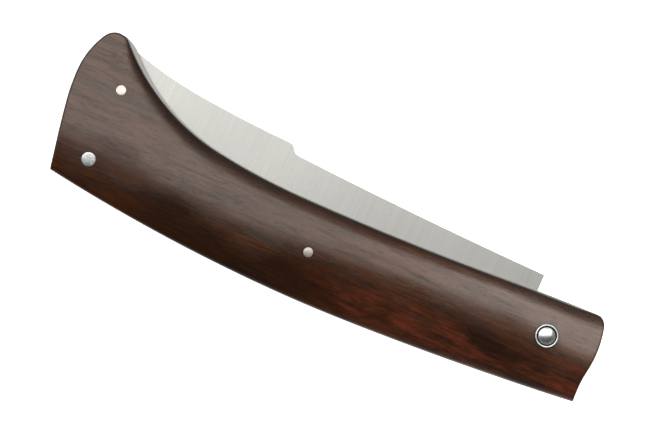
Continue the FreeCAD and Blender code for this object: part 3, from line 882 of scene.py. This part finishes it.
def make_brushed(name, colour, scale, roughness, depth, tint=plain_tint):
    """Brushed steel, with hairlines drawn out along the axis that has the smallest scale."""
    nodes = Nodes(name)
    lines = nodes.noise(nodes.stretched(scale), detail=1.5, roughness=0.5)
    wide_scale = tuple(value / BRUSH_SPREAD for value in scale)
    wide = nodes.noise(nodes.stretched(wide_scale, (2, 5, 1)), detail=2)
    cloud = nodes.noise(nodes.stretched((60, 60, 60)), detail=3)
    dark = tuple(value * 0.90 for value in colour)
    shade = nodes.math("ADD", nodes.product(lines, 0.6), nodes.product(wide, 0.4))
    rough = nodes.vary(wide, roughness - 0.01, roughness + 0.03)
    nodes.set(
        Base_Color=tint(nodes, nodes.mix(nodes.vary(shade), dark, colour)),
        Metallic=1.0,
        Roughness=nodes.math("ADD", rough, nodes.vary(cloud, -0.02, 0.02)),
    )
    nodes.bump(lines, strength=0.07, distance=depth, edge_radius=0.1 * MM)
    return nodes.material


def make_filed():
    """Pin ends: filed in crossing directions. The tail pin is the greyest."""
    nodes = Nodes("pin_steel")
    one_way = nodes.noise(nodes.stretched((300, 7000, 900)), detail=3, roughness=0.7)
    other_way = nodes.noise(nodes.stretched((6000, 500, 900), (4, 4, 4)), detail=3, roughness=0.7)
    mottle = nodes.noise(nodes.stretched((1300, 1300, 1300), (2, 0, 1)), detail=3, roughness=0.7)
    scratches = nodes.product(one_way, other_way)
    warm = nodes.spread(gap_from(nodes, middle_of("tail_pin")), *TAIL_PIN_REACH)
    low = nodes.mix(warm, COOL_PIN_DARK, WARM_PIN_DARK)
    high = nodes.mix(warm, COOL_PIN_LIGHT, WARM_PIN_LIGHT)
    tone = nodes.math("ADD", nodes.product(mottle, 0.7), scratches)
    nodes.set(
        Base_Color=nodes.mix(nodes.spread(tone, 0.42, 0.74), low, high),
        Metallic=1.0,
        Roughness=nodes.spread(scratches, 0.1, 0.4, 0.5, 0.32),
    )
    nodes.bump(scratches, strength=0.5, distance=0.02 * MM)
    return nodes.material


def make_polished():
    """Polished steel with hair-fine scratches, painted shade in the dish round the pivot's head and a
    painted highlight on the rim.
    """
    nodes = Nodes("polished_steel")
    scratches = nodes.noise(nodes.stretched((2600, 2600, 2600)), detail=5, roughness=0.8)
    smudges = nodes.noise(nodes.stretched((900, 900, 900), (1, 2, 3)), detail=2)
    tone = nodes.mix(nodes.vary(smudges), SMUDGED_STEEL, CLEAN_STEEL)
    gap = gap_from(nodes, PIVOT)
    past_head = nodes.spread(gap, HEAD_RADIUS - 0.1 * MM, HEAD_RADIUS + 0.05 * MM)
    inside_rim = nodes.spread(gap, ROSETTE_RADIUS - 0.48 * MM, ROSETTE_RADIUS - 0.34 * MM, 1.0, 0.0)
    # the rosette's rim, where a highlight is painted
    rim = nodes.spread(gap, ROSETTE_RADIUS - 0.42 * MM, ROSETTE_RADIUS - 0.30 * MM)
    # painted shade in the dish between the head and the rim
    tone = nodes.coat(tone, DISH_SHADE_STEEL, past_head, strength=inside_rim)
    nodes.set(
        Base_Color=nodes.mix(rim, tone, RIM_HIGHLIGHT_STEEL),
        Metallic=1.0,
        Roughness=nodes.vary(scratches, 0.22, 0.36),
    )
    nodes.bump(scratches, strength=0.06, distance=0.01 * MM)
    return nodes.material


def make_bronze():
    """Turned bronze with a dull patina."""
    nodes = Nodes("bronze")
    lines = nodes.noise(nodes.stretched((900, 900, 9000)), detail=4, roughness=0.7)
    patina = nodes.noise(nodes.stretched((400, 400, 400)), detail=4)
    nodes.set(
        Base_Color=nodes.mix(nodes.spread(patina, 0.35, 0.65), BRONZE_DULL, BRONZE_BRIGHT),
        Metallic=1.0,
        Roughness=nodes.vary(lines, 0.28, 0.45),
    )
    nodes.bump(lines, strength=0.3, distance=0.01 * MM)
    return nodes.material


MATERIALS = {
    "rosewood": make_rosewood(),
    "blade_steel": make_brushed(
        "blade_steel",
        colour=BLADE_STEEL,
        scale=(2800, 40, 40),
        roughness=0.28,
        depth=0.0006 * MM,
        tint=painted_blade_shade,
    ),
    "liner_steel": make_brushed(
        "liner_steel",
        colour=LINER_STEEL,
        scale=(90, 900, 5200),
        roughness=0.30,
        depth=0.004 * MM,
    ),
    "pin_steel": make_filed(),
    "polished_steel": make_polished(),
    "bronze": make_bronze(),
}


def dress_cad_nodes():
    """Give every CAD node that stays its slot's material."""
    for part in frame["record"]["subparts"]:
        piece = frame["nodes"][part["node"]]
        if piece.hide_render:
            continue
        piece.data.materials.clear()
        piece.data.materials.append(MATERIALS[part["material_slot"]])


# ---------------------------------------------------------------- stage

def make_camera():
    """A camera straight above the razor, turned so that the handle lies slanting in the picture."""
    camera = bpy.data.objects.new("camera", bpy.data.cameras.new("camera"))
    bpy.context.scene.collection.objects.link(camera)
    camera.data.sensor_width = SENSOR
    camera.data.lens = SENSOR * VIEW_DISTANCE / VIEW_WIDTH
    turn = Matrix((PICTURE_RIGHT, PICTURE_UP, Vector((0, 0, 1)))).transposed()
    place = Vector((*VIEW_CENTRE, MIDDLE_Z + FACE + VIEW_DISTANCE))
    camera.matrix_world = Matrix.Translation(place) @ turn.to_4x4()
    camera.data.clip_start = 0.01
    bpy.context.scene.camera = camera


def make_soft_light(name, right, up, height, size, power, in_reflections=True):
    """A rectangular soft light, placed along the picture's right and up at a height, aimed at the razor."""
    light = bpy.data.lights.new(name, "AREA")
    light.shape = "RECTANGLE"
    light.size, light.size_y = size
    light.energy = power
    lamp = bpy.data.objects.new(name, light)
    bpy.context.scene.collection.objects.link(lamp)
    place = PICTURE_RIGHT * right + PICTURE_UP * up + Vector((0, 0, height))
    away = place.normalized()
    across = PICTURE_UP.cross(away).normalized()
    turn = Matrix((across, away.cross(across), away)).transposed()
    lamp.matrix_world = Matrix.Translation(place) @ turn.to_4x4()
    lamp.visible_camera = False
    lamp.visible_glossy = in_reflections


def make_floor():
    """A pale floor, a little bright of its own so that the soft shadows stay faint."""
    mesh = bpy.data.meshes.new("floor")
    rim = circle((0, 0), FLOOR_RADIUS, FLOOR_POINTS)
    mesh.from_pydata([(x, y, 0.0) for x, y in rim], [], [list(range(FLOOR_POINTS))])
    floor = bpy.data.objects.new("floor", mesh)
    bpy.context.scene.collection.objects.link(floor)
    nodes = Nodes("floor")
    grain = nodes.noise(nodes.stretched((30, 30, 30)), detail=3)
    nodes.set(
        Base_Color=nodes.mix(grain, (0.90, 0.90, 0.90), (0.93, 0.93, 0.93)),
        Roughness=0.9,
        Emission_Color=(1, 1, 1, 1),
        Emission_Strength=FLOOR_GLOW,
        Specular_IOR_Level=0.0,
    )
    mesh.materials.append(nodes.material)


def make_world():
    """A white surrounding for the camera, and a dim one for what the razor reflects, darkest overhead."""
    world = bpy.data.worlds.new("studio")
    bpy.context.scene.world = world
    world.use_nodes = True
    tree = world.node_tree
    background = tree.nodes["Background"]
    path = tree.nodes.new("ShaderNodeLightPath")
    direction = tree.nodes.new("ShaderNodeTexCoord")
    apart = tree.nodes.new("ShaderNodeSeparateXYZ")
    tree.links.new(direction.outputs["Generated"], apart.inputs[0])
    low_down = tree.nodes.new("ShaderNodeMapRange")
    for socket, value in zip(low_down.inputs[1:5], (*REFLECTED_TURN, REFLECTED_LOW, REFLECTED_HIGH)):
        socket.default_value = value
    tree.links.new(apart.outputs["Z"], low_down.inputs["Value"])
    level = tree.nodes.new("ShaderNodeMapRange")
    tree.links.new(low_down.outputs[0], level.inputs["To Min"])
    level.inputs["To Max"].default_value = 1.0
    tree.links.new(path.outputs["Is Camera Ray"], level.inputs["Value"])
    tree.links.new(level.outputs[0], background.inputs["Strength"])
    background.inputs["Color"].default_value = (1, 1, 1, 1)


def make_stage():
    """The camera, the floor, the surroundings and the lights."""
    make_camera()
    make_floor()
    make_world()
    make_soft_light("overhead", right=-0.1, up=0.355, height=0.903, size=(1.6, 0.725), power=13)
    make_soft_light("fill", right=0.4, up=-0.8, height=0.7, size=(0.9, 0.9), power=2.0, in_reflections=False)
    bpy.context.scene.view_settings.view_transform = "Standard"


make_stage()
make_scales()
for pin in PIN_NODES:
    make_pin(pin)
make_pivot()
make_rosette(1, "front_rosette")
make_rosette(-1, "rear_rosette")
dress_cad_nodes()
